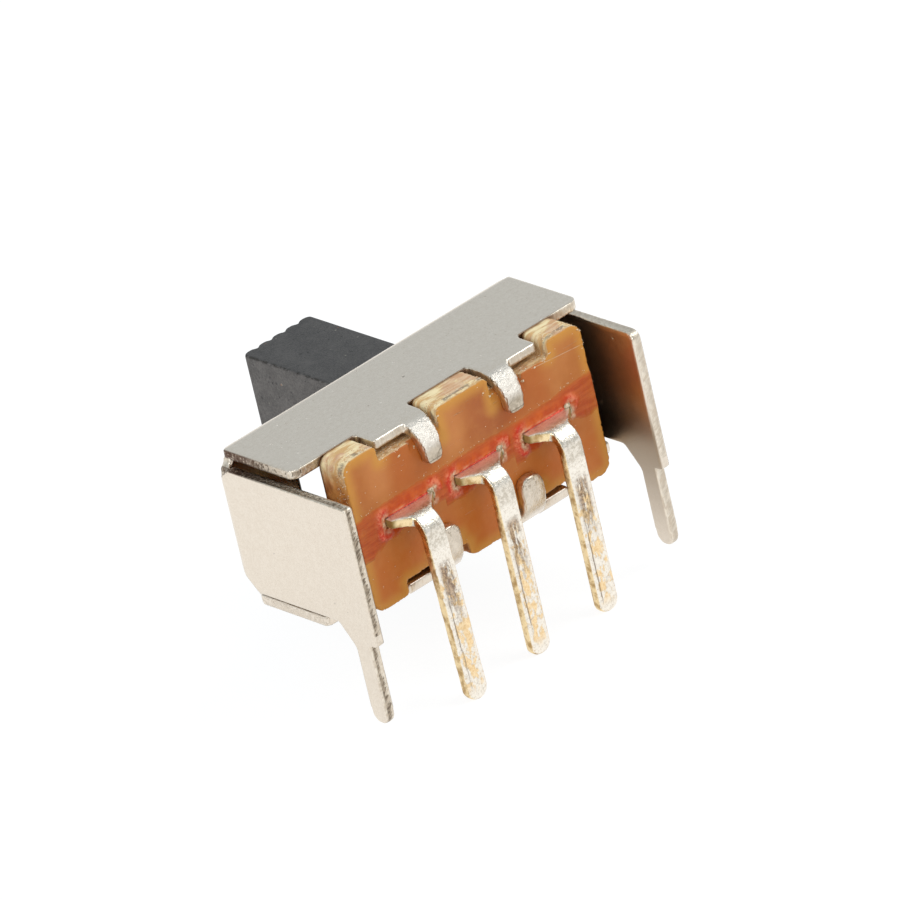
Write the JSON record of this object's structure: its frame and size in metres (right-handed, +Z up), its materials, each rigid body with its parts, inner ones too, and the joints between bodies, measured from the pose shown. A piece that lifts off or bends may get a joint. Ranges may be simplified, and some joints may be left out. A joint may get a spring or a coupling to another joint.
{
  "type": "slide switch",
  "caption": "Miniature side-actuated slide switch with a folded metal frame, a long plastic knob, a laminate base board and a row of bent solder pins.",
  "frame": {"origin": "middle of the underside of the frame's bottom plate, which seats on the circuit board", "axes": "+X along the slider's travel, -Y the way the knob points, +Z up from the circuit board"},
  "size_m": [0.0086, 0.0084, 0.0061],
  "materials": {
    "frame_metal": "satin nickel plate with bare sheared edges",
    "laminate": "paper laminate with fibrous sheared edges",
    "terminal_metal": "silver plate, worn through in places",
    "knob_plastic": "fine grained moulding",
    "contact_metal": "bright spring strip",
    "lacquer": "thin brushed-on film"
  },
  "bodies": {
    "housing": {"frame": "frame_metal", "base_board": "laminate", "terminal_left": "terminal_metal", "terminal_centre": "terminal_metal", "terminal_right": "terminal_metal", "sealing_lacquer": "lacquer"},
    "actuator": {"slider": "knob_plastic", "contact_clip": "contact_metal"}
  },
  "joints": [
    {"name": "slider_travel", "type": "slide", "parent": "housing", "child": "actuator", "axis": [1, 0, 0], "range_m": [0, 0.002]}
  ]
}
